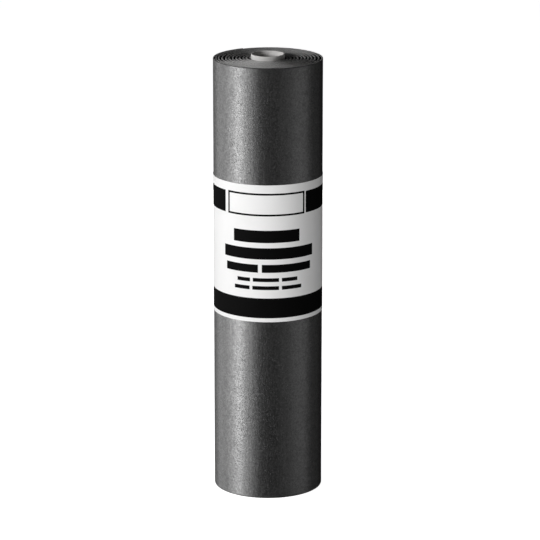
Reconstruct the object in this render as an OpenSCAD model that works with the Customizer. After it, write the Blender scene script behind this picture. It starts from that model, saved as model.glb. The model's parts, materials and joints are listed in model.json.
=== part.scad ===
// Roll of mineral-surfaced roofing felt, standing on its end, in millimetres.
//
// It has three pieces: the wound felt, the board tube that it is wound on, and
// the paper band that is glued round its middle. +Z runs up the roll's axis, and
// the origin is the centre of the end that the roll stands on.

/* [Felt] */
// Width of the felt, which is the height of the standing roll
felt_width = 914; // [600:1:1250]
// Thickness of the felt with its granules
felt_thickness = 3.2; // [2:0.1:6]
// Air gap between one turn and the next
turn_gap = 3.9; // [1:0.1:8]
// Number of turns wound on the core
turn_count = 11; // [3:1:20]
// How far the open gaps between the turns run in from each end
gap_depth = 12; // [2:1:60]
// Chamfer on the cut edges of the felt
felt_chamfer = 0.4; // [0.1:0.1:0.9]

/* [Core] */
// Bore of the board tube that the felt is wound on
core_bore = 63.5; // [40:0.5:110]
// Wall of the board tube
core_wall = 3.2; // [2:0.1:10]
// How far the tube stands proud of the felt's upper end
core_proud = 8; // [0:0.5:40]
// Chamfer on the tube's cut rims
core_chamfer = 0.4; // [0.1:0.1:0.9]

/* [Label] */
// Height of the paper band
label_height = 289; // [60:1:600]
// Bare felt between the band and the roll's upper end
label_drop = 242; // [20:1:600]
// Thickness of the paper
label_thickness = 0.3; // [0.2:0.1:1]
// Width of the glued lap where the band closes on itself
label_lap = 30; // [10:1:60]
// Direction of the lap's middle, in degrees from +X
label_lap_at = 90; // [0:5:355]

/* [Hidden] */
$fn = 96;

core_radius = core_bore / 2 + core_wall;
turn_pitch = felt_thickness + turn_gap;
roll_radius = core_radius + turn_count * turn_pitch;
core_length = felt_width + core_proud;
label_bottom = felt_width - label_drop - label_height;

felt_color = [0.24, 0.24, 0.25];
core_color = [0.86, 0.85, 0.83];
label_color = [0.95, 0.95, 0.94];

// A rectangle from r0 to r1 and from z0 to z1, with its four corners cut off.
module chamfered_section(r0, r1, z0, z1, chamfer) {
    polygon([
        [r0 + chamfer, z0], [r1 - chamfer, z0],
        [r1, z0 + chamfer], [r1, z1 - chamfer],
        [r1 - chamfer, z1], [r0 + chamfer, z1],
        [r0, z1 - chamfer], [r0, z0 + chamfer]
    ]);
}

// Section of one turn of felt, counted outwards from the core.
module turn_section(turn) {
    outer = core_radius + turn * turn_pitch;
    chamfered_section(outer - felt_thickness, outer, 0, felt_width, felt_chamfer);
}

// The wound felt: its turns stand free of each other at both ends, with the
// gaps between them open, and are one mass between the gaps.
module felt_roll() {
    color(felt_color)
        rotate_extrude() {
            translate([core_radius, gap_depth])
                square([roll_radius - core_radius - felt_chamfer, felt_width - 2 * gap_depth]);
            for (turn = [1 : turn_count])
                turn_section(turn);
        }
}

// The board tube, level with the felt below and proud of it above.
module core_tube() {
    color(core_color)
        rotate_extrude()
            chamfered_section(core_bore / 2, core_radius, 0, core_length, core_chamfer);
}

// Outline of the paper band, seen from above: a thin ring, doubled where its
// ends lap.
module label_outline() {
    difference() {
        union() {
            circle(r = roll_radius + label_thickness);
            intersection() {
                circle(r = roll_radius + 2 * label_thickness);
                rotate(label_lap_at)
                    translate([0, -label_lap / 2])
                        square([2 * roll_radius, label_lap]);
            }
        }
        circle(r = roll_radius);
    }
}

// The paper band.
module label_band() {
    color(label_color)
        translate([0, 0, label_bottom])
            linear_extrude(label_height)
                label_outline();
}

felt_roll();
core_tube();
label_band();
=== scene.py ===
"""A standing roll of mineral-surfaced roofing felt: its meshes, finishes and studio.

The roll has three pieces: one long sheet of felt wound into a spiral, the board tube
that it is wound on, and the paper band that holds it closed. Everything is in metres,
with +Z up the roll's axis and the front of the band facing -Y.
"""

import json
import logging
import math
from dataclasses import dataclass
from enum import Enum, IntEnum
from typing import Any, Iterator, Sequence

import bmesh
import bpy
import numpy as np
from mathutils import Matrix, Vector, geometry, noise


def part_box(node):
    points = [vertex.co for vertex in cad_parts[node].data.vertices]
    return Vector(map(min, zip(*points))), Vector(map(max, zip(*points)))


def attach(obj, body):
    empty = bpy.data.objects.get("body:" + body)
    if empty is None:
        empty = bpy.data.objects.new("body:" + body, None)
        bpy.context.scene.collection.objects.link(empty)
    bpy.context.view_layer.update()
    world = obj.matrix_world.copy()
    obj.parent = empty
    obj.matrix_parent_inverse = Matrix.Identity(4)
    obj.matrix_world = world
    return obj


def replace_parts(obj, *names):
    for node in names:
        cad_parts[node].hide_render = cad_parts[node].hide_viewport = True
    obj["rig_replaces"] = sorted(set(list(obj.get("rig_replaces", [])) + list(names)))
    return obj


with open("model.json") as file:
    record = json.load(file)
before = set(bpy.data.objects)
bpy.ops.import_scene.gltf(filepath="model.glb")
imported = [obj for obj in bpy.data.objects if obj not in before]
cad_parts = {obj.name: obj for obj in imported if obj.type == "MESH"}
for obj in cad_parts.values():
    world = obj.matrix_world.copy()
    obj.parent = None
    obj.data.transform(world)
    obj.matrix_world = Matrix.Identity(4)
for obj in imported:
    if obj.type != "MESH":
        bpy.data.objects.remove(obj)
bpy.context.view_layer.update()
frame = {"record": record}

LOG = logging.getLogger("felt_roll")
MM = 0.001
FULL_TURN = 2 * math.pi
BODY = "root"

# What a noise node gives on average.
NOISE_MEAN = 0.5
# The meshes' noise is read round a cylinder of this radius, and each wave this far from the last.
WAVER_RADIUS = 0.1
WAVE_SPACING = 7

Colour = tuple[float, float, float]
# A noise's lump size in metres, then its detail and roughness where they are not the usual ones.
Grain = tuple[float, ...]
# A ramp's low and high limits, then what it gives at each where that is not 0 and 1.
Fade = tuple[float, ...]


def grey(level: float, warmth: float = 0.0) -> Colour:
    """Gives a linear grey that leans to red, and away from blue, by warmth."""
    return (level * (1 + warmth), level, level * (1 - warmth))


# ---------------------------------------------------------------- shader nodes


class Value:
    """A number, colour or vector that leaves a node's socket, open to plain arithmetic."""

    def __init__(self, bench: "Bench", socket: bpy.types.NodeSocket) -> None:
        """Wraps a socket.

        Args:
            bench: The node tree that the socket belongs to.
            socket: The output socket that holds the value.
        """
        self.bench = bench
        self.socket = socket

    def _maths(self, operation: str, *terms: "Term") -> "Value":
        """Adds a Math node.

        Args:
            operation: Blender's name for the operation.
            terms: The node's inputs, in order.

        Returns:
            The node's result.
        """
        return self.bench.node("ShaderNodeMath", {"operation": operation}, dict(enumerate(terms)))

    def __add__(self, other: "Term") -> "Value":
        """Gives self + other."""
        return self._maths("ADD", self, other)

    __radd__ = __add__

    def __sub__(self, other: "Term") -> "Value":
        """Gives self - other."""
        return self._maths("SUBTRACT", self, other)

    def __rsub__(self, other: "Term") -> "Value":
        """Gives other - self."""
        return self._maths("SUBTRACT", other, self)

    def __mul__(self, other: "Term") -> "Value":
        """Gives self * other."""
        return self._maths("MULTIPLY", self, other)

    __rmul__ = __mul__

    def __truediv__(self, other: "Term") -> "Value":
        """Gives self / other."""
        return self._maths("DIVIDE", self, other)

    def __rtruediv__(self, other: "Term") -> "Value":
        """Gives other / self."""
        return self._maths("DIVIDE", other, self)

    def __pow__(self, other: "Term") -> "Value":
        """Gives self to the power of other."""
        return self._maths("POWER", self, other)

    def __rpow__(self, other: "Term") -> "Value":
        """Gives other to the power of self."""
        return self._maths("POWER", other, self)

    def fraction(self) -> "Value":
        """Gives what is left of self above a whole number."""
        return self._maths("FRACT", self)

    def either(self, other: "Term") -> "Value":
        """Gives the larger of self and other, which joins two masks."""
        return self._maths("MAXIMUM", self, other)

    def arctan2(self, other: "Term") -> "Value":
        """Gives the angle of the point (other, self), in radians from -pi to pi."""
        return self._maths("ARCTAN2", self, other)

    def sibling(self, output: str) -> "Value":
        """Gives another output of the node that self comes from."""
        return Value(self.bench, self.socket.node.outputs[output])

    def parts(self) -> tuple["Value", "Value", "Value"]:
        """Splits a vector into its x, y and z."""
        x = self.bench.node("ShaderNodeSeparateXYZ", {}, {"Vector": self}, "X")
        return x, x.sibling("Y"), x.sibling("Z")

    def ramp(self, low: float, high: float, start: float = 0.0, end: float = 1.0) -> "Value":
        """Carries self from one range to another, easing in and out.

        Args:
            low: Where the ramp starts.
            high: Where it ends.
            start: What it gives at low and before.
            end: What it gives at high and after.

        Returns:
            The ramped value.
        """
        return self.bench.node(
            "ShaderNodeMapRange",
            {"interpolation_type": "SMOOTHSTEP"},
            {"Value": self, "From Min": low, "From Max": high, "To Min": start, "To Max": end},
        )

    def inside(self, low: float, high: float, blur: float) -> "Value":
        """Makes a mask that is 1 between two limits.

        Args:
            low: The lower limit.
            high: The upper limit.
            blur: Width over which each side of the mask fades.

        Returns:
            The mask.
        """
        half = blur / 2
        return self.ramp(low - half, low + half) * self.ramp(high - half, high + half, 1.0, 0.0)


Term = Value | float


class Bench:
    """The node tree of one material or world: it makes nodes and links them."""

    def __init__(self, tree: bpy.types.NodeTree) -> None:
        """Takes over a node tree and empties it.

        Args:
            tree: The tree to build in.
        """
        self.tree = tree
        tree.nodes.clear()

    @staticmethod
    def _find(sockets: Any, key: str | int) -> bpy.types.NodeSocket:
        """Finds a socket by its place, its identifier or its name.

        Args:
            sockets: A node's inputs or outputs.
            key: The place, identifier or name.

        Returns:
            The socket.
        """
        if isinstance(key, int):
            return sockets[key]
        return next((s for s in sockets if s.identifier == key), None) or sockets[key]

    @staticmethod
    def _set_stops(ramp: bpy.types.ColorRamp, stops: Sequence[tuple[float, Colour]]) -> None:
        """Sets a colour ramp's stops.

        Args:
            ramp: The ramp to change.
            stops: A place from 0 to 1 and a colour for each stop, in order.
        """
        while len(ramp.elements) < len(stops):
            ramp.elements.new(1.0)
        for element, (place, colour) in zip(ramp.elements, stops):
            element.position = place
            element.color = (*colour, 1.0)

    def node(
        self,
        kind: str,
        settings: dict[str, Any] | None = None,
        inputs: dict[str | int, Any] | None = None,
        output: str | int = 0,
    ) -> Value:
        """Adds any node.

        Args:
            kind: Blender's type of the node.
            settings: The node's own settings, which are set first. The key stops holds a
                colour ramp's stops, as pairs of a place and a colour.
            inputs: What goes in each socket: a Value is linked and anything else is set.
            output: Which output to give back.

        Returns:
            The chosen output.
        """
        made = self.tree.nodes.new(kind)
        for name, setting in (settings or {}).items():
            if name == "stops":
                self._set_stops(made.color_ramp, setting)
            else:
                setattr(made, name, setting)
        for key, term in (inputs or {}).items():
            socket = self._find(made.inputs, key)
            if isinstance(term, Value):
                self.tree.links.new(term.socket, socket)
            elif isinstance(term, tuple) and len(term) < len(socket.default_value):
                socket.default_value = (*term, 1.0)
            else:
                socket.default_value = term
        return Value(self, self._find(made.outputs, output))

    def end(self, kind: str, shader: Value) -> None:
        """Shows a shader through the tree's output node.

        Args:
            kind: Blender's type of the output node.
            shader: What it shows.
        """
        last = self.tree.nodes.new(kind)
        self.tree.links.new(shader.socket, last.inputs["Surface"])

    def mix(self, share: Term, first: Value | Colour, second: Value | Colour) -> Value:
        """Mixes two colours.

        Args:
            share: 0 for the first colour and 1 for the second.
            first: The first colour.
            second: The second colour.

        Returns:
            The mixed colour.
        """
        return self.node(
            "ShaderNodeMix",
            {"data_type": "RGBA"},
            {"Factor_Float": share, "A_Color": first, "B_Color": second},
            "Result_Color",
        )

    def vector(self, operation: str, *terms: Value | Colour, output: str | int = 0) -> Value:
        """Adds a Vector Math node.

        Args:
            operation: Blender's name for the operation.
            terms: The node's inputs, in order.
            output: Which output to give back.

        Returns:
            The node's result.
        """
        inputs = dict(enumerate(terms))
        return self.node("ShaderNodeVectorMath", {"operation": operation}, inputs, output)

    def noise(self, where: Value, size: float, detail: float = 2.0, roughness: float = 0.5) -> Value:
        """Adds soft noise.

        Args:
            where: The coordinates that the noise is laid in.
            size: Size of its largest lumps, in metres.
            detail: How many finer layers it has.
            roughness: How strong each finer layer is.

        Returns:
            The noise, near 0.5 on average.
        """
        return self.node(
            "ShaderNodeTexNoise",
            {},
            {"Vector": where, "Scale": 1 / size, "Detail": detail, "Roughness": roughness},
        )

    def bump(self, height: Value, depth: float, under: Value | None = None) -> Value:
        """Turns a height into a normal.

        Args:
            height: The height, from 0 to 1.
            depth: How far height 1 stands above height 0, in metres.
            under: A bump that this one lies on.

        Returns:
            The normal.
        """
        below = {"Normal": under} if under else {}
        return self.node("ShaderNodeBump", {}, {"Height": height, "Distance": depth, **below})


# -------------------------------------------------------------------- finishes


class Finish:
    """What every material here has in common; each kind says how its own surface looks."""

    title = "finish"

    def surface(self, bench: Bench, where: Value) -> dict[str, Any]:
        """Works out the shader's sockets.

        Args:
            bench: The material's node tree.
            where: Coordinates on the piece, in metres.

        Returns:
            A value for each socket of the shader that this finish sets.
        """
        raise NotImplementedError

    def material(self) -> bpy.types.Material:
        """Builds the material.

        Returns:
            The finished material.
        """
        made = bpy.data.materials.new(self.title)
        made.use_nodes = True
        bench = Bench(made.node_tree)
        where = bench.node("ShaderNodeTexCoord", output="Object")
        sockets = self.surface(bench, where)
        bench.end("ShaderNodeOutputMaterial", bench.node("ShaderNodeBsdfPrincipled", {}, sockets))
        return made

@dataclass(frozen=True)
class EdgeWear:
    """Rubbing and stone dust that pale the felt along its two cut edges.

    It lies between the turns only: the outside of the roll keeps its dark granules right up
    to the edges.
    """

    height: float
    radius: float
    full: float = 1.2 * MM
    reach: float = 2.2 * MM
    fray: Grain = (2.6 * MM, 3.0, 0.65)
    half_blend: float = 1 * MM
    outer_skin: float = 4 * MM
    skin_blend: float = 2 * MM
    colour: Colour = grey(0.68, 0.01)
    strength: float = 0.95

    def mask(self, bench: Bench, where: Value) -> Value:
        """Finds the worn places.

        Args:
            bench: The material's node tree.
            where: Coordinates on the felt, in metres.

        Returns:
            A mask that is strongest at the edges.
        """
        x, y, z = where.parts()
        ragged = (bench.noise(where, *self.fray) - NOISE_MEAN) * self.reach
        middle = self.height / 2
        upper = z.ramp(middle - self.half_blend, middle + self.half_blend)
        from_edge = z + upper * (self.height - 2 * z) + ragged
        skin = self.radius - self.outer_skin
        within = ((x * x + y * y) ** 0.5).ramp(skin, skin + self.skin_blend, 1.0, 0.0)
        return from_edge.ramp(self.full, self.reach, self.strength, 0.0) * within


@dataclass(frozen=True)
class MineralFace(Finish):
    """Charcoal granules pressed into bitumen: the felt's weather side."""

    wear: EdgeWear
    title = "mineral_granules"
    granule: float = 3.0 * MM
    granule_top: Fade = (0.35, 0.75, 1.0, 0.0)
    granule_height: float = 0.045 * MM
    lean: float = 0.23
    clump: Grain = (7 * MM, 2.0, 0.55)
    clump_shade: Fade = (0.25, 0.75, 0.4, 1.0)
    clump_height: float = 0.12 * MM
    drift: Grain = (60 * MM, 2.0)
    drift_shade: Fade = (0.25, 0.75, 0.8, 1.4)
    bitumen: Colour = grey(0.006)
    dark_granule: Colour = grey(0.010)
    light_granule: Colour = grey(0.030)
    smoothest: float = 0.33
    roughest: float = 0.42
    worn_roughness: float = 0.3
    ior: float = 1.85
    least_glaze: float = 0.1
    most_glaze: float = 1.0
    glaze_roughness: float = 0.34
    glaze_ior: float = 1.6

    def surface(self, bench: Bench, where: Value) -> dict[str, Any]:
        """Lays granules in bitumen, each with a shade, a lean and a glaze of its own.

        Args:
            bench: The material's node tree.
            where: Coordinates on the felt, in metres.

        Returns:
            A value for each socket of the shader that this finish sets.
        """
        granule = bench.node(
            "ShaderNodeTexVoronoi", {}, {"Vector": where, "Scale": 1 / self.granule}, "Distance"
        )
        tint = granule.sibling("Color")
        shade = bench.node("ShaderNodeSeparateColor", {}, {"Color": tint}, "Red")
        polish, glaze = shade.sibling("Blue"), shade.sibling("Green")
        offset = bench.vector("SUBTRACT", where, granule.sibling("Position"))
        slope = bench.vector("SUBTRACT", tint, (NOISE_MEAN, NOISE_MEAN, NOISE_MEAN))
        lean = bench.vector("DOT_PRODUCT", offset, slope, output="Value")
        top = granule.ramp(*self.granule_top)
        clumps = bench.noise(where, *self.clump)
        drift = bench.noise(where, *self.drift)
        lightness = shade * clumps.ramp(*self.clump_shade) * drift.ramp(*self.drift_shade)
        stone = bench.mix(lightness, self.dark_granule, self.light_granule)
        felt = bench.mix(top, self.bitumen, stone)
        worn = self.wear.mask(bench, where)
        lumps = bench.bump(clumps, self.clump_height)
        height = top * (1 + lean * (self.lean / self.granule_height))
        gloss = self.roughest + (self.smoothest - self.roughest) * polish
        return {
            "Base Color": bench.mix(worn, felt, self.wear.colour),
            "Roughness": gloss + self.worn_roughness * worn,
            "IOR": self.ior,
            "Coat Weight": self.least_glaze + (self.most_glaze - self.least_glaze) * glaze,
            "Coat Roughness": self.glaze_roughness,
            "Coat IOR": self.glaze_ior,
            "Normal": bench.bump(height, self.granule_height, lumps),
        }


@dataclass(frozen=True)
class CutEdge(Finish):
    """The knife-cut edge of the felt: bitumen coatings with the fibrous mat between them.

    The places of its layers are shares of the felt's thickness, up from its under side.
    """

    title = "cut_felt_edge"
    mat: Colour = grey(0.54, 0.01)
    coating: Colour = grey(0.12)
    granules: Colour = grey(0.16)
    under_coating: float = 0.06
    mat_from: float = 0.16
    mat_to: float = 0.52
    upper_coating: float = 0.66
    fray: Grain = (1.2 * MM, 3.0, 0.7)
    raggedness: float = 0.22
    crumbs: Grain = (7 * MM, 3.0, 0.6)
    crumb_cover: Fade = (0.3, 0.7, 0.0, 0.3)
    least_roughness: float = 0.75
    fray_roughness: float = 0.15
    fray_height: float = 0.25 * MM

    def surface(self, bench: Bench, where: Value) -> dict[str, Any]:
        """Shades the edge by how far across the felt's thickness a point lies.

        Args:
            bench: The material's node tree.
            where: Coordinates on the felt, in metres.

        Returns:
            A value for each socket of the shader that this finish sets.
        """
        across = bench.node("ShaderNodeAttribute", {"attribute_name": ACROSS}, {}, "Fac")
        fray = bench.noise(where, *self.fray)
        crumbs = bench.noise(where, *self.crumbs)
        stops = (
            (0.0, self.coating),
            (self.under_coating, self.coating),
            (self.mat_from, self.mat),
            (self.mat_to, self.mat),
            (self.upper_coating, self.coating),
            (1.0, self.granules),
        )
        place = across + (fray - NOISE_MEAN) * self.raggedness
        layer = bench.node("ShaderNodeValToRGB", {"stops": stops}, {"Fac": place})
        return {
            "Base Color": bench.mix(crumbs.ramp(*self.crumb_cover), layer, self.coating),
            "Roughness": self.least_roughness + self.fray_roughness * fray,
            "Normal": bench.bump(fray, self.fray_height),
        }


@dataclass(frozen=True)
class DustedBack(Finish):
    """The felt's under side: bitumen dusted with talc so that the turns don't stick."""

    wear: EdgeWear
    title = "dusted_back"
    bitumen: Colour = grey(0.014)
    talc: Colour = grey(0.07, 0.01)
    dust: Grain = (9 * MM, 4.0, 0.65)
    dust_cover: Fade = (0.35, 0.7, 0.15, 0.7)
    specks: Grain = (0.9 * MM, 1.0)
    speck_cover: Fade = (0.3, 0.65, 0.4, 1.0)
    speck_height: float = 0.1 * MM
    least_roughness: float = 0.6
    dust_roughness: float = 0.3

    def surface(self, bench: Bench, where: Value) -> dict[str, Any]:
        """Dusts dark bitumen with uneven talc.

        Args:
            bench: The material's node tree.
            where: Coordinates on the felt, in metres.

        Returns:
            A value for each socket of the shader that this finish sets.
        """
        dust = bench.noise(where, *self.dust)
        specks = bench.noise(where, *self.specks)
        cover = dust.ramp(*self.dust_cover) * specks.ramp(*self.speck_cover)
        dusted = bench.mix(cover, self.bitumen, self.talc)
        return {
            "Base Color": bench.mix(self.wear.mask(bench, where), dusted, self.wear.colour),
            "Roughness": self.least_roughness + self.dust_roughness * cover,
            "Normal": bench.bump(specks, self.speck_height),
        }


@dataclass(frozen=True)
class TubeBoard(Finish):
    """Pale paperboard wound in a helix, with the seam of its outer ply showing.

    The seam's width is a share of its pitch, and a ply's glue line a share of the ply.
    """

    title = "tube_board"
    board: Colour = grey(0.74, 0.015)
    shade: Colour = grey(0.54, 0.04)
    seam: Colour = grey(0.22, 0.05)
    seam_pitch: float = 96 * MM
    seam_width: float = 0.012
    seam_blur: float = 0.008
    seam_strength: float = 0.6
    ply: float = 0.5 * MM
    glue_line: float = 0.35
    glue_blur: float = 0.3
    ply_relief: float = 0.25
    fibre: Grain = (1.6 * MM, 3.0, 0.6)
    fibre_run: tuple[float, float, float] = (1.0, 1.0, 0.35)
    fibre_shade: float = 0.25
    fibre_relief: float = 0.3
    cloud: Grain = (22 * MM, 3.0, 0.6)
    cloud_shade: Fade = (0.3, 0.75, 0.0, 0.35)
    relief_height: float = 0.12 * MM
    least_roughness: float = 0.72
    fibre_roughness: float = 0.16

    def surface(self, bench: Bench, where: Value) -> dict[str, Any]:
        """Draws the fibres, the helical seam and, on the rim, the edges of the plies.

        Args:
            bench: The material's node tree.
            where: Coordinates on the tube, in metres.

        Returns:
            A value for each socket of the shader that this finish sets.
        """
        x, y, z = where.parts()
        turn = y.arctan2(x) / FULL_TURN
        radius = (x * x + y * y) ** 0.5
        seam = (z / self.seam_pitch + turn).fraction().inside(0.0, self.seam_width, self.seam_blur)
        fibres = bench.noise(bench.vector("MULTIPLY", where, self.fibre_run), *self.fibre)
        clouds = bench.noise(where, *self.cloud)
        plies = (radius / self.ply).fraction().inside(0.0, self.glue_line, self.glue_blur)
        stain = clouds.ramp(*self.cloud_shade) + fibres * self.fibre_shade
        tone = bench.mix(stain, self.board, self.shade)
        relief = fibres * self.fibre_relief - seam + plies * self.ply_relief
        return {
            "Base Color": bench.mix(seam * self.seam_strength, tone, self.seam),
            "Roughness": self.least_roughness + self.fibre_roughness * fibres,
            "Normal": bench.bump(relief, self.relief_height),
        }


@dataclass(frozen=True)
class BlockRow:
    """A row of plain black blocks.

    Its drop is measured down from the band's top, and each block runs from one angle round
    the front to another, in degrees.
    """

    drop: float
    height: float
    blocks: tuple[tuple[float, float], ...]


@dataclass(frozen=True)
class PrintedPaper(Finish):
    """White paper printed with plain black bars, one empty outlined box and rows of blocks.

    Heights are in metres up from the floor and angles in radians from the front of the
    band, with the right-hand side positive.
    """

    radius: float
    top: float
    bottom: float
    title = "printed_paper"
    upper_margin: float = 18.3 * MM
    upper_bar: float = 45.7 * MM
    bar_from: float = math.radians(-49.8)
    bar_to: float = math.radians(42.7)
    box_from: float = math.radians(-45.7)
    box_to: float = math.radians(40.9)
    box_line: float = 4.0 * MM
    box_overhang: float = 1.0 * MM
    lower_margin: float = 8.3 * MM
    lower_bar: float = 42.3 * MM
    rows: tuple[BlockRow, ...] = (
        BlockRow(95 * MM, 26 * MM, ((-38.0, 34.5),)),
        BlockRow(132 * MM, 24 * MM, ((-51.0, 53.0),)),
        BlockRow(167 * MM, 17 * MM, ((-48.0, -10.5), (-6.5, 49.5))),
        BlockRow(195.5 * MM, 8 * MM, ((-33.5, -19.0), (-16.0, 11.5), (14.5, 32.0))),
        BlockRow(212.5 * MM, 8 * MM, ((-37.0, -19.5), (-16.5, 11.5), (14.5, 37.0))),
    )
    ink_blur: float = 0.5 * MM
    paper: Colour = grey(0.79, 0.003)
    ink: Colour = grey(0.003)
    soil: Colour = grey(0.55, 0.02)
    cloud: Grain = (45 * MM, 3.0, 0.55)
    soil_cover: Fade = (0.45, 0.8, 0.0, 0.12)
    pulp: Colour = grey(0.6)
    fibre: Grain = (0.7 * MM, 2.0)
    fibre_shade: float = 0.06
    fibre_height: float = 0.03 * MM
    least_roughness: float = 0.62
    fibre_roughness: float = 0.08
    specular: float = 0.02

    def _box(self, angle: Value, z: Value) -> Value:
        """Draws the outlined box.

        Args:
            angle: Angle round the band.
            z: Height up the roll.

        Returns:
            A mask that is 1 on the box's line.
        """
        high = self.top - self.upper_margin + self.box_overhang
        low = high - self.upper_bar - 2 * self.box_overhang
        side = self.box_line / self.radius
        blur = self.ink_blur / self.radius
        outer = angle.inside(self.box_from, self.box_to, blur) * z.inside(low, high, self.ink_blur)
        inner = angle.inside(self.box_from + side, self.box_to - side, blur) * z.inside(
            low + self.box_line, high - self.box_line, self.ink_blur
        )
        return outer * (1 - inner)

    def _row(self, row: BlockRow, angle: Value, z: Value) -> Value:
        """Draws one row of blocks.

        Args:
            row: The row.
            angle: Angle round the band.
            z: Height up the roll.

        Returns:
            A mask that is 1 on the row's blocks.
        """
        blur = self.ink_blur / self.radius
        spans = [
            angle.inside(math.radians(start), math.radians(end), blur) for start, end in row.blocks
        ]
        top = self.top - row.drop
        return sum(spans[1:], spans[0]) * z.inside(top - row.height, top, self.ink_blur)

    def print_mask(self, where: Value) -> Value:
        """Draws everything that is printed on the band.

        Args:
            where: Coordinates on the band, in metres.

        Returns:
            A mask that is 1 where there is ink.
        """
        x, y, z = where.parts()
        angle = x.arctan2(-1 * y)
        bar_top = self.top - self.upper_margin
        upper = z.inside(bar_top - self.upper_bar, bar_top, self.ink_blur)
        opening = angle.inside(self.bar_from, self.bar_to, self.ink_blur / self.radius)
        bar_bottom = self.bottom + self.lower_margin
        lower = z.inside(bar_bottom, bar_bottom + self.lower_bar, self.ink_blur)
        mask = (upper * (1 - opening)).either(lower).either(self._box(angle, z))
        for row in self.rows:
            mask = mask.either(self._row(row, angle, z))
        return mask

    def surface(self, bench: Bench, where: Value) -> dict[str, Any]:
        """Prints the bars on paper with a faint fibre and a little soiling.

        Args:
            bench: The material's node tree.
            where: Coordinates on the band, in metres.

        Returns:
            A value for each socket of the shader that this finish sets.
        """
        inked = self.print_mask(where)
        fibre = bench.noise(where, *self.fibre)
        cover = bench.noise(where, *self.cloud).ramp(*self.soil_cover)
        soiled = bench.mix(cover, self.paper, self.soil)
        pale = bench.mix(fibre * self.fibre_shade, soiled, self.pulp)
        return {
            "Base Color": bench.mix(inked, pale, self.ink),
            "Roughness": self.least_roughness + self.fibre_roughness * fibre,
            "Specular IOR Level": self.specular,
            "Normal": bench.bump(fibre, self.fibre_height),
        }


@dataclass(frozen=True)
class StudioFloor(Finish):
    """A plain pale floor, bright enough to run into the backdrop."""

    title = "studio_floor"
    paint: Colour = grey(0.8)
    scuffed: Colour = grey(0.7)
    mottle: Grain = (0.4, 2.0)
    mottle_shade: float = 0.05
    roughness: float = 0.9
    light: Colour = grey(1.0)
    glow: float = 0.97

    def surface(self, bench: Bench, where: Value) -> dict[str, Any]:
        """Makes a matt pale sweep with hardly any mottle.

        Args:
            bench: The material's node tree.
            where: Coordinates on the floor, in metres.

        Returns:
            A value for each socket of the shader that this finish sets.
        """
        mottle = bench.noise(where, *self.mottle) * self.mottle_shade
        return {
            "Base Color": bench.mix(mottle, self.paint, self.scuffed),
            "Roughness": self.roughness,
            "Emission Color": self.light,
            "Emission Strength": self.glow,
        }


# --------------------------------------------------------------------- meshes

ACROSS = "across"
ONE_FINISH = (0, 0, 0, 0)
SAME_LEVEL = 0.01 * MM
SHARPEST_SMOOTH = math.radians(50)

Cut = list[list[int]]


@dataclass
class Chain:
    """One side of a cut through a sheet: points in order, and what the side is made of."""

    points: np.ndarray
    levels: np.ndarray
    across: np.ndarray
    finish: int


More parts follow.
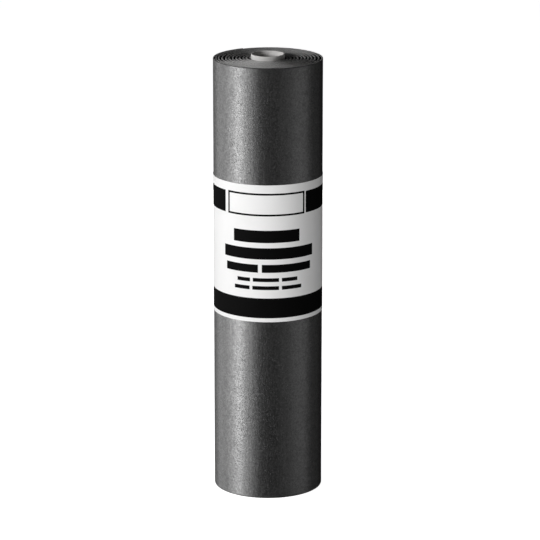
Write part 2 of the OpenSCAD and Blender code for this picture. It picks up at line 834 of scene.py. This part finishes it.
class Loft:
    """One closed mesh, laid down cut by cut.

    Every cut goes round the sheet's section in four chains: up the outer face, over the
    top edge, down the inner face and back along the bottom edge.
    """

    def __init__(self) -> None:
        """Starts with no points and no faces."""
        self.points: list[np.ndarray] = []
        self.levels: list[float] = []
        self.across: list[float] = []
        self.faces: list[tuple[int, ...]] = []
        self.finishes: list[int] = []

    def add_cut(self, chains: Sequence[Chain]) -> Cut:
        """Lays down the points of one cut.

        Args:
            chains: The cut's four sides, in order.

        Returns:
            The numbers of each side's points.
        """
        numbers = []
        for chain in chains:
            start = len(self.levels)
            self.points.append(chain.points)
            self.levels.extend(chain.levels)
            self.across.extend(chain.across)
            numbers.append(list(range(start, len(self.levels))))
        return numbers

    def _stitch(self, left: Sequence[int], right: Sequence[int], finish: int) -> None:
        """Fills the strip between two rows of points, which may differ in number.

        Args:
            left: The first row.
            right: The second row, which runs the same way.
            finish: What the strip is made of.
        """
        even = len(left) == len(right)
        i = j = 0
        while i < len(left) - 1 or j < len(right) - 1:
            ahead = self.levels[left[i + 1]] if i < len(left) - 1 else math.inf
            beside = self.levels[right[j + 1]] if j < len(right) - 1 else math.inf
            if even or abs(ahead - beside) < SAME_LEVEL:
                self.faces.append((left[i], left[i + 1], right[j + 1], right[j]))
                i, j = i + 1, j + 1
            elif ahead < beside:
                self.faces.append((left[i], left[i + 1], right[j]))
                i += 1
            else:
                self.faces.append((left[i], right[j + 1], right[j]))
                j += 1
            self.finishes.append(finish)

    def join(self, first: Cut, second: Cut, finishes: Sequence[int]) -> None:
        """Fills the sheet between two cuts.

        Args:
            first: The first cut's points.
            second: The next cut's points.
            finishes: What each of the four sides is made of.
        """
        for side, finish in enumerate(finishes):
            onward = (side + 1) % len(finishes)
            left = first[side] + first[onward][:1]
            right = second[side] + second[onward][:1]
            self._stitch(left, right, finish)

    def cap(self, cut: Cut, finish: int) -> None:
        """Closes the sheet's end at a cut.

        Args:
            cut: The cut's points.
            finish: What the end is made of.
        """
        outer, top, inner, bottom = cut
        half = len(top) // 2
        up = bottom[half:] + outer + top[:half]
        down = (top[half:] + inner + bottom[:half])[::-1]
        self._stitch(up, down, finish)

    def sheet(self, cuts: Sequence[Cut], finishes: Sequence[int], end: int) -> None:
        """Fills a sheet from its first cut to its last and closes its two ends.

        Args:
            cuts: The cuts, in order.
            finishes: What each of the four sides is made of.
            end: What the two ends are made of.
        """
        self.cap(cuts[0], end)
        for first, second in zip(cuts, cuts[1:]):
            self.join(first, second, finishes)
        self.cap(cuts[-1], end)

    def ring(self, cuts: Sequence[Cut], finishes: Sequence[int]) -> None:
        """Fills a ring, from each cut to the next and from the last to the first.

        Args:
            cuts: The cuts, in order.
            finishes: What each of the four sides is made of.
        """
        for first, second in zip(cuts, [*cuts[1:], cuts[0]]):
            self.join(first, second, finishes)

    def build(self, name: str, materials: Sequence[bpy.types.Material]) -> bpy.types.Object:
        """Makes the object.

        Args:
            name: The piece's name.
            materials: Its materials, in the order of the finishes' numbers.

        Returns:
            The object, smooth except at its sharp edges.
        """
        mesh = bpy.data.meshes.new(name)
        mesh.from_pydata(np.concatenate(self.points).tolist(), [], self.faces)
        mesh.attributes.new(ACROSS, "FLOAT", "POINT").data.foreach_set("value", self.across)
        for material in materials:
            mesh.materials.append(material)
        mesh.polygons.foreach_set("material_index", self.finishes)
        knife = bmesh.new()
        knife.from_mesh(mesh)
        bmesh.ops.recalc_face_normals(knife, faces=knife.faces)
        knife.to_mesh(mesh)
        knife.free()
        mesh.shade_smooth()
        mesh.set_sharp_from_angle(angle=SHARPEST_SMOOTH)
        made = bpy.data.objects.new(name, mesh)
        bpy.context.scene.collection.objects.link(made)
        LOG.info("%s: %d points, %d faces", name, len(mesh.vertices), len(mesh.polygons))
        return made


def ring_points(radius: np.ndarray | float, angle: float, z: np.ndarray) -> np.ndarray:
    """Places points at one angle round the axis.

    Args:
        radius: Distance of each point from the axis.
        angle: The angle from +X.
        z: Height of each point.

    Returns:
        One row of coordinates for each point.
    """
    radius = np.broadcast_to(radius, z.shape)
    return np.stack([radius * math.cos(angle), radius * math.sin(angle), z], 1)


def crowded_levels(height: float, corner: float, near: Sequence[float]) -> np.ndarray:
    """Spaces levels up a sheet so that they crowd towards both of its edges.

    Args:
        height: The sheet's height.
        corner: Radius of its rounded corners.
        near: Distances from an edge at which a level lies.

    Returns:
        The levels, from the lowest to the highest.
    """
    low = [corner, *near]
    return np.array([*low, height / 2, *(height - level for level in reversed(low))])

class Wave(IntEnum):
    """The noises that shape the meshes; each has a place of its own in the noise's space."""

    BROAD_RELIEF = 0
    LOCAL_RELIEF = 1
    FINE_RELIEF = 2
    HIDDEN_TURNS = 3
    LOWER_EDGE = 11
    UPPER_EDGE = 29
    TUBE_RIM = 41
    PAPER_CURL = 51
    PAPER_SLACK = 52


def waver(angle: float, z: float, wave: int, size: float) -> float:
    """Gives smooth noise on a cylinder, from about -1 to 1.

    Args:
        angle: Angle round the axis.
        z: Height.
        wave: Which noise; the hidden turns count on from theirs, one for each layer.
        size: Size of the noise's lumps, in metres.

    Returns:
        The noise.
    """
    reach = WAVER_RADIUS / size
    aside = WAVE_SPACING * wave
    return noise.noise(Vector((reach * math.cos(angle) + aside, reach * math.sin(angle), z / size)))


def half_waver(angle: float, z: float, wave: int, size: float) -> float:
    """Gives the noise that waver gives with the same arguments, but from about 0 to 1."""
    return (1 + waver(angle, z, wave, size)) / 2


@dataclass(frozen=True)
class Rounding:
    """How a sheet's edge is rounded over: its radius, and that as a share of the sheet."""

    corner: float
    share: float
    finish: int
    setback: float = 0.3

    def chain(
        self, faces: tuple[float, float], angle: float, z: float, inward: float, ends: tuple[float, float]
    ) -> Chain:
        """Rounds the edge over, from one face to the other.

        Args:
            faces: Radius of the face that the edge leaves and of the one that it meets.
            angle: Angle of the cut from +X.
            z: Height of the edge.
            inward: 1 where the sheet lies above the edge, and -1 where it lies below.
            ends: How far across the sheet each of the two faces lies, from 0 to 1.

        Returns:
            The edge's side of the cut.
        """
        leave, meet = faces
        step = math.copysign(self.corner, meet - leave)
        near = self.setback * step
        radii = np.array([leave + near, leave + step, meet - step, meet - near])
        drop = inward * self.corner * (1 - math.sqrt(0.5))
        heights = np.array([z + drop, z, z, z + drop])
        start, end = ends
        whole = (end - start) * self.share
        part = self.setback * whole
        across = np.array([start + part, start + whole, end - whole, end - part])
        return Chain(ring_points(radii, angle, heights), heights, across, self.finish)


# --------------------------------------------------------------- sub-assemblies


class FeltSide(IntEnum):
    """The felt's materials, in the order of its material slots."""

    MINERAL = 0
    CUT = 1
    BACK = 2


@dataclass
class FeltRoll:
    """One sheet of felt wound into a spiral, with its free end at the back.

    The outermost turn keeps the roll's full radius until the sheet dives under its own
    free end. Turns are counted inwards from that end. The dive gives how steeply the sheet
    runs inwards at some counts of turns, in pitches for each turn, and the relief gives each
    unevenness of the outer face with the size and depth of its hollows.
    """

    radius: float
    core_radius: float
    height: float
    band_low: float
    band_high: float
    thickness: float = 3.2 * MM
    turns: int = 11
    corner: float = 0.8 * MM
    free_end: float = math.radians(118)
    dive: tuple[tuple[float, float], ...] = (
        (0.0, 0.0), (0.55, 0.0), (0.8, 1.5), (1.0, 1.5), (1.1, 0.7), (1.68, 0.7), (1.7, 1.0), (20.0, 1.0)
    )
    dive_steps: int = 4800
    core_clearance: float = 0.3 * MM
    fine_step: float = 3.3 * MM
    coarse_step: float = 6 * MM
    fine_turns: float = 1.03
    row_step: float = 4.6 * MM
    least_row: float = 0.35
    near_edges: tuple[float, ...] = (3 * MM, 8 * MM, 16 * MM, 30 * MM, 60 * MM, 150 * MM)
    relief: tuple[tuple[Wave, float, float], ...] = (
        (Wave.BROAD_RELIEF, 85 * MM, 0.22 * MM),
        (Wave.LOCAL_RELIEF, 22 * MM, 0.1 * MM),
        (Wave.FINE_RELIEF, 5 * MM, 0.05 * MM),
    )
    hidden_relief: float = 0.3 * MM
    stray: float = 0.9 * MM
    stray_size: float = 70 * MM
    stray_from: float = 1.15
    stray_gain: float = 0.5
    stray_loss: float = 0.4
    spring: float = 2.2 * MM
    spring_turns: float = 0.055
    spring_flare: float = 1.5
    unevenness: float = 0.7 * MM
    slow_waves: float = 4.3
    raggedness: float = 0.15 * MM
    quick_waves: float = 190.0
    quick_row: float = 3.0
    off_floor: float = 0.05 * MM

    def __post_init__(self) -> None:
        """Works out the spiral, and the levels at which the sheet has points."""
        self.pitch = (self.radius - self.core_radius) / self.turns
        self.counts = np.linspace(0.0, self.turns + 1.0, self.dive_steps + 1)
        knots, slopes = zip(*self.dive)
        slope = np.interp(self.counts, knots, slopes)
        gained = (slope[1:] + slope[:-1]) / 2 * np.diff(self.counts)
        self.inset = self.pitch * np.concatenate([[0.0], np.cumsum(gained)])
        seat = self.radius - self.core_radius - self.thickness - self.core_clearance
        self.last_count = float(np.interp(seat, self.inset, self.counts))
        coarse = crowded_levels(self.height, self.corner, self.near_edges)
        even = np.arange(self.row_step, self.height - self.row_step / 2, self.row_step)
        apart = np.abs(even[:, None] - coarse[None, :]).min(1) > self.least_row * self.row_step
        self.coarse_levels = coarse
        self.fine_levels = np.sort(np.concatenate([coarse, even[apart]]))

    def angle_at(self, count: float) -> float:
        """Gives the angle from +X at a count of turns."""
        return self.free_end + FULL_TURN * count

    def radius_at(self, count: float) -> float:
        """Gives the radius of the sheet's outer face at a count of turns."""
        return self.radius - float(np.interp(count, self.counts, self.inset))

    def outline(self, points: int = 720) -> list[Vector]:
        """Gives the roll's outline from above, without its relief.

        Args:
            points: How many points it has.

        Returns:
            The points of the outermost turn.
        """
        counts = [i / points for i in range(points + 1)]
        return [
            Vector((math.cos(self.angle_at(c)), math.sin(self.angle_at(c)))) * self.radius_at(c)
            for c in counts
        ]

    def _hollow(self, count: float, level: float) -> float:
        """Gives how far the outer face lies inside its even radius.

        Args:
            count: Count of turns.
            level: Height on the sheet.

        Returns:
            The distance, never negative.
        """
        angle = self.angle_at(count)
        return sum(depth * (1 - half_waver(angle, level, wave, size)) for wave, size, depth in self.relief)

    def _wander(self, count: float, level: float) -> float:
        """Gives how far a hidden turn strays from the even spiral, much less than a gap.

        Args:
            count: Count of turns.
            level: Height on the sheet.

        Returns:
            The distance, outwards where it is positive.
        """
        inwards = max(0.0, (count - self.stray_from) / self.stray_gain)
        outwards = max(0.0, (self.last_count - count) / self.stray_loss)
        own = waver(self.angle_at(count), level, Wave.HIDDEN_TURNS + math.floor(count), self.stray_size)
        return self.stray * min(1.0, inwards, outwards) * own

    def _lift(self, count: float, level: float) -> float:
        """Gives how far the free end springs out, away from the band that holds it.

        Args:
            count: Count of turns.
            level: Height on the sheet.

        Returns:
            The distance outwards.
        """
        if count > self.spring_turns:
            return 0.0
        away = max(self.band_low - level, level - self.band_high, 0.0) / self.band_low
        loose = (1 - count / self.spring_turns) ** 2
        return self.spring * loose * min(1.0, away) ** self.spring_flare

    def _edge_shift(self, count: float, edge: Wave) -> float:
        """Gives how far one of the sheet's cut edges strays inwards.

        Args:
            count: Count of turns.
            edge: Which edge.

        Returns:
            The distance, which is below zero where the edge stands proud.
        """
        slow = 1 + noise.noise(Vector((count * self.slow_waves, edge, 0.0)))
        quick = noise.noise(Vector((count * self.quick_waves, edge, self.quick_row)))
        return self.unevenness * slow / 2 + self.raggedness * quick

    def _face(self, count: float, levels: np.ndarray, depth: float, seen: bool) -> np.ndarray:
        """Works out the radius of one face of the sheet.

        Args:
            count: Count of turns.
            levels: Heights on the sheet.
            depth: How deep in the sheet the face lies.
            seen: Whether it is the outside of the roll, which has relief.

        Returns:
            The radius at each level.
        """
        even = self.radius_at(count) - depth
        return np.array([
            even + self._lift(count, z) + self._wander(count, z)
            - (self._hollow(count, z) if seen else self.hidden_relief)
            for z in levels
        ])

    def _chains(self, count: float) -> list[Chain]:
        """Works out one cut through the sheet.

        Args:
            count: Count of turns at which the cut lies.

        Returns:
            The cut's four sides.
        """
        fine = count <= self.fine_turns
        angle = self.angle_at(count)
        up = self.fine_levels if fine else self.coarse_levels
        down = self.coarse_levels[::-1]
        low = max(self._edge_shift(count, Wave.LOWER_EDGE), self.off_floor)
        high = self.height - max(self._edge_shift(count, Wave.UPPER_EDGE), 0.0)
        outer = self._face(count, up, 0.0, fine and count <= 1.0)
        inner = self._face(count, down, self.thickness, False)
        outer_z, inner_z = (low + (high - low) * levels / self.height for levels in (up, down))
        rounding = Rounding(self.corner, self.corner / self.thickness, FeltSide.CUT)
        return [
            Chain(ring_points(outer, angle, outer_z), up, np.ones(len(up)), FeltSide.MINERAL),
            rounding.chain((outer[-1], inner[0]), angle, high, -1.0, (1.0, 0.0)),
            Chain(ring_points(inner, angle, inner_z), down, np.zeros(len(down)), FeltSide.BACK),
            rounding.chain((inner[-1], outer[0]), angle, low, 1.0, (0.0, 1.0)),
        ]

    def _cut_counts(self) -> Iterator[float]:
        """Steps along the sheet from its free end to the tube.

        Yields:
            The count of turns at each cut.
        """
        count = 0.0
        while count < self.last_count:
            yield count
            step = self.fine_step if count <= self.fine_turns else self.coarse_step
            count += step / (FULL_TURN * self.radius_at(count))
        yield self.last_count

    def build(self) -> bpy.types.Object:
        """Winds the sheet from its free end to the tube and closes both ends.

        Returns:
            The finished piece.
        """
        loft = Loft()
        cuts = [loft.add_cut(self._chains(count)) for count in self._cut_counts()]
        loft.sheet(cuts, (FeltSide.MINERAL, FeltSide.CUT, FeltSide.BACK, FeltSide.CUT), FeltSide.CUT)
        wear = EdgeWear(self.height, self.radius)
        finishes = (MineralFace(wear), CutEdge(), DustedBack(wear))
        return self.dress(loft.build("felt_sheet", [finish.material() for finish in finishes]))

    @staticmethod
    def dress(piece: bpy.types.Object) -> bpy.types.Object:
        """Puts the sheet in the place of its CAD solid.

        Args:
            piece: The wound sheet.

        Returns:
            The same piece.
        """
        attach(piece, BODY)
        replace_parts(piece, "felt_roll")
        return piece


@dataclass
class CoreTube:
    """The spiral-wound board tube in the middle of the roll."""

    radius: float
    bore: float
    length: float
    corner: float = 0.5 * MM
    columns: int = 144
    near_edges: tuple[float, ...] = (2 * MM, 6 * MM, 14 * MM, 30 * MM, 90 * MM, 230 * MM)
    out_of_round: float = 0.15 * MM
    flat_at: float = 0.6
    rim_wear: float = 0.2 * MM
    rim_wear_size: float = 14 * MM
    off_floor: float = 0.05 * MM

    def _chains(self, angle: float) -> list[Chain]:
        """Works out one cut through the tube's wall.

        Args:
            angle: Angle from +X at which the cut lies.

        Returns:
            The cut's four sides.
        """
        levels = crowded_levels(self.length, self.corner, self.near_edges)
        slack = self.out_of_round * (1 + math.cos(2 * angle + self.flat_at)) / 2
        outer, inner = self.radius - slack, self.bore - slack
        foot = self.off_floor
        top = self.length - self.rim_wear * half_waver(angle, 0.0, Wave.TUBE_RIM, self.rim_wear_size)
        heights = foot + (top - foot) * levels / self.length
        none = np.zeros(len(levels))
        rounding = Rounding(self.corner, 0.0, 0)
        return [
            Chain(ring_points(outer, angle, heights), levels, none, 0),
            rounding.chain((outer, inner), angle, top, -1.0, (0.0, 0.0)),
            Chain(ring_points(inner, angle, heights[::-1]), levels[::-1], none, 0),
            rounding.chain((inner, outer), angle, foot, 1.0, (0.0, 0.0)),
        ]

    def build(self) -> bpy.types.Object:
        """Turns the tube.

        Returns:
            The finished piece.
        """
        loft = Loft()
        angles = [FULL_TURN * column / self.columns for column in range(self.columns)]
        loft.ring([loft.add_cut(self._chains(angle)) for angle in angles], ONE_FINISH)
        return self.dress(loft.build("board_tube", [TubeBoard().material()]))

    @staticmethod
    def dress(piece: bpy.types.Object) -> bpy.types.Object:
        """Puts the tube in the place of its CAD solid.

        Args:
            piece: The turned tube.

        Returns:
            The same piece.
        """
        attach(piece, BODY)
        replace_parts(piece, "core_tube")
        return piece


@dataclass
class LabelBand:
    """The paper band: one strip pulled tight round the felt, its ends glued in a lap."""

    outline: list[Vector]
    radius: float
    bottom: float
    top: float
    thickness: float = 0.3 * MM
    stand_off: float = 0.05 * MM
    lap: float = 30 * MM
    lap_at: float = math.radians(90)
    lap_rise: float = 8 * MM
    columns: int = 264
    row_step: float = 5 * MM
    near_edges: tuple[float, ...] = (0.0, 1.5 * MM, 3 * MM)
    curl_reach: float = 7 * MM
    curl: float = 0.35 * MM
    curl_size: float = 60 * MM
    slack: float = 0.15 * MM
    slack_size: float = 45 * MM
    slack_length: float = 3.0
    edge_setback: float = 0.4

    def __post_init__(self) -> None:
        """Works out the taut line that the strip follows round the felt, and its levels."""
        hull = geometry.convex_hull_2d(self.outline)
        ring = sorted((self.outline[i] for i in hull), key=lambda p: math.atan2(p.y, p.x))
        self.ring = ring + ring[:1]
        self.ring_angles = np.array([math.atan2(p.y, p.x) for p in ring])
        self.tall = self.top - self.bottom
        rows = max(2, round(self.tall / self.row_step))
        inside = [self.tall * row / rows for row in range(1, rows)]
        upper = [self.tall - level for level in reversed(self.near_edges)]
        self.levels = np.array([*self.near_edges, *inside, *upper])

    def taut_radius(self, angle: float) -> float:
        """Finds the taut line's distance from the axis.

        Args:
            angle: Angle from +X.

        Returns:
            The distance.
        """
        turned = (angle + math.pi) % FULL_TURN - math.pi
        after = int(np.searchsorted(self.ring_angles, turned)) % len(self.ring_angles)
        start, end = self.ring[after - 1 if after else -2], self.ring[after]
        ray = Vector((math.cos(turned), math.sin(turned)))
        along = end - start
        return (start.x * end.y - start.y * end.x) / (ray.x * along.y - ray.y * along.x)

    def _stand(self, angle: float, level: float) -> float:
        """Gives how far the paper stands off its taut line.

        Args:
            angle: Angle from +X.
            level: Height on the strip.

        Returns:
            The distance.
        """
        from_edge = min(level, self.tall - level)
        flare = max(0.0, 1 - from_edge / self.curl_reach) ** 2
        curl = self.curl * flare * half_waver(angle, level, Wave.PAPER_CURL, self.curl_size)
        ease = half_waver(angle, level / self.slack_length, Wave.PAPER_SLACK, self.slack_size)
        return curl + self.slack * ease

    def _edge(self, angle: float, z: float, inner: float, outward: bool) -> Chain:
        """Works out the paper's edge at its top or bottom.

        Args:
            angle: Angle from +X.
            z: Height of the edge.
            inner: Radius of the paper's inner face there.
            outward: Whether the edge runs from the inner face to the outer one.

        Returns:
            The edge's side of the cut.
        """
        near, far = self.edge_setback, 1 - self.edge_setback
        shares = np.array([near, far] if outward else [far, near])
        heights = np.full(2, z)
        return Chain(ring_points(inner + self.thickness * shares, angle, heights), heights, np.zeros(2), 0)

    def _chains(self, travel: float) -> list[Chain]:
        """Works out one cut through the strip.

        Args:
            travel: Distance round the roll from the strip's first end.

        Returns:
            The cut's four sides.
        """
        angle = self.lap_at + (travel - self.lap / 2) / self.radius
        rise = (travel - FULL_TURN * self.radius) / self.lap_rise + 1
        layer = min(1.0, max(0.0, rise)) * (self.thickness + self.stand_off)
        base = self.taut_radius(angle) + self.stand_off + layer
        inner = np.array([base + self._stand(angle, level) for level in self.levels])
        z = self.bottom + self.levels
        none = np.zeros(len(z))
        return [
            Chain(ring_points(inner + self.thickness, angle, z), self.levels, none, 0),
            self._edge(angle, z[-1], inner[-1], False),
            Chain(ring_points(inner[::-1], angle, z[::-1]), self.levels[::-1], none, 0),
            self._edge(angle, z[0], inner[0], True),
        ]

    def build(self) -> bpy.types.Object:
        """Wraps the strip round the roll and closes its two ends.

        Returns:
            The finished piece.
        """
        loft = Loft()
        length = FULL_TURN * self.radius + self.lap
        travels = [length * column / self.columns for column in range(self.columns + 1)]
        loft.sheet([loft.add_cut(self._chains(travel)) for travel in travels], ONE_FINISH, 0)
        printed = PrintedPaper(self.radius, self.top, self.bottom)
        return self.dress(loft.build("paper_band", [printed.material()]))

    @staticmethod
    def dress(piece: bpy.types.Object) -> bpy.types.Object:
        """Puts the band in the place of its CAD solid.

        Args:
            piece: The wrapped strip.

        Returns:
            The same piece.
        """
        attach(piece, BODY)
        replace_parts(piece, "label_band")
        return piece


# ---------------------------------------------------------------------- studio


class Light(Enum):
    """Which part of the roll's look a lamp acts on."""

    ALL = "all"
    GLOSS = "gloss"
    MATT = "matt"


@dataclass(frozen=True)
class SoftBox:
    """A rectangular lamp that stands upright and faces the roll's axis.

    Its bearing is in degrees from the camera's side, with the right positive.
    """

    name: str
    bearing: float
    distance: float
    bottom: float
    top: float
    width: float
    radiance: float
    light: Light = Light.ALL

    def build(self) -> bpy.types.Object:
        """Makes the lamp and puts it in its place.

        Returns:
            The lamp.
        """
        lamp = bpy.data.lights.new(self.name, "AREA")
        lamp.shape = "RECTANGLE"
        lamp.size, lamp.size_y = self.width, self.top - self.bottom
        lamp.energy = self.radiance * math.pi * lamp.size * lamp.size_y
        made = bpy.data.objects.new(self.name, lamp)
        angle = math.radians(self.bearing)
        outward = Vector((math.sin(angle), -math.cos(angle), 0.0))
        middle = Vector((0, 0, (self.top + self.bottom) / 2))
        made.location = outward * self.distance + middle
        made.rotation_mode = "QUATERNION"
        made.rotation_quaternion = (-outward).to_track_quat("-Z", "Y")
        made.visible_glossy = self.light is not Light.MATT
        made.visible_diffuse = self.light is not Light.GLOSS
        bpy.context.scene.collection.objects.link(made)
        return made


@dataclass
class Studio:
    """The floor, the lamps and the camera round the standing roll."""

    camera_distance: float = 6.15
    camera_height: float = 2.139
    camera_aside: float = 4.0 * MM
    aim_height: float = 0.4634
    lens: float = 204.0
    farthest_view: float = 200.0
    floor_reach: float = 60.0
    ambient: float = 0.045
    glossy_ambient: float = 0.012
    boxes: tuple[SoftBox, ...] = (
        SoftBox("key_rim", -83, 2.2, -1.0, 1.2, 0.45, 2.1, Light.GLOSS),
        SoftBox("key_strip", -64, 2.2, -1.0, 1.2, 0.45, 10.1, Light.GLOSS),
        SoftBox("key_slope", -50, 2.2, -1.0, 1.2, 0.45, 2.1, Light.GLOSS),
        SoftBox("key_shoulder", -37, 2.2, -1.0, 1.2, 0.45, 2.1, Light.GLOSS),
        SoftBox("right_slope", 34, 2.2, -1.0, 1.2, 0.8, 0.22, Light.GLOSS),
        SoftBox("rim_glow", -140, 2.5, -1.2, 1.8, 1.6, 0.2, Light.GLOSS),
        SoftBox("right_rim", 120, 2.5, -1.0, 1.2, 1.2, 0.06, Light.GLOSS),
        SoftBox("side_wash", -105, 2.5, -1.2, 1.8, 2.6, 1.15),
        SoftBox("right_wash", 70, 2.3, -1.0, 0.95, 1.8, 0.54),
        SoftBox("high_left", -54, 2.4, 1.25, 1.75, 1.2, 24.0, Light.MATT),
        SoftBox("low_left", -32, 2.6, -0.9, 0.88, 1.4, 2.2, Light.MATT),
        SoftBox("low_front", 6, 2.6, -0.9, 0.88, 1.4, 3.6, Light.MATT),
        SoftBox("back_fill", 180, 2.6, -0.9, 0.88, 2.6, 2.5, Light.MATT),
    )

    def _floor(self) -> None:
        """Lays a floor that only the camera sees, so that it doesn't tint the roll."""
        half = self.floor_reach / 2
        corners = [(-half, -half, 0), (half, -half, 0), (half, half, 0), (-half, half, 0)]
        mesh = bpy.data.meshes.new("floor")
        mesh.from_pydata(corners, [], [(0, 1, 2, 3)])
        mesh.materials.append(StudioFloor().material())
        made = bpy.data.objects.new("floor", mesh)
        bpy.context.scene.collection.objects.link(made)
        made.visible_glossy = made.visible_diffuse = made.visible_shadow = False

    def _world(self) -> None:
        """Makes a world that is white to look at, dim as light and dimmer still in gloss."""
        world = bpy.data.worlds.new("studio")
        world.use_nodes = True
        bench = Bench(world.node_tree)
        seen = bench.node("ShaderNodeLightPath", output="Is Camera Ray")
        glossy = seen.sibling("Is Glossy Ray")
        dim = self.ambient + glossy * (self.glossy_ambient - self.ambient)
        level = seen + (1 - seen) * dim
        bench.end("ShaderNodeOutputWorld", bench.node("ShaderNodeBackground", {}, {"Strength": level}))
        bpy.context.scene.world = world

    def _camera(self) -> None:
        """Stands the camera in front of the roll, high up, and aims it at the middle."""
        lens = bpy.data.cameras.new("camera")
        lens.lens = self.lens
        lens.clip_end = self.farthest_view
        made = bpy.data.objects.new("camera", lens)
        place = Vector((self.camera_aside, -self.camera_distance, self.camera_height))
        aim = Vector((self.camera_aside, 0.0, self.aim_height))
        made.location = place
        made.rotation_mode = "QUATERNION"
        made.rotation_quaternion = (aim - place).to_track_quat("-Z", "Y")
        bpy.context.scene.collection.objects.link(made)
        bpy.context.scene.camera = made

    def build(self) -> None:
        """Sets up the whole studio."""
        self._camera()
        self._floor()
        self._world()
        for box in self.boxes:
            box.build()
        bpy.context.scene.view_settings.view_transform = "Standard"


def bore_radius() -> float:
    """Reads the tube's bore from the record's mounts, in metres."""
    mount = next(m for m in frame["record"]["mounts"] if m["name"] == "core_bore")
    return mount["dims"]["r_mm"] * MM


def main() -> None:
    """Builds the studio and the roll's three pieces."""
    logging.basicConfig(level=logging.INFO, format="%(message)s")
    felt_low, felt_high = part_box("felt_roll")
    tube_low, tube_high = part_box("core_tube")
    band_low, band_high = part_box("label_band")
    Studio().build()
    felt = FeltRoll(felt_high.x, tube_high.x, felt_high.z, band_low.z, band_high.z)
    tube = CoreTube(tube_high.x, bore_radius(), tube_high.z)
    band = LabelBand(felt.outline(), felt_high.x, band_low.z, band_high.z)
    for piece in (felt.build(), tube.build(), band.build()):
        LOG.info("%s stands in for %s", piece.name, list(piece["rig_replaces"]))


if __name__ == "__main__":
    main()
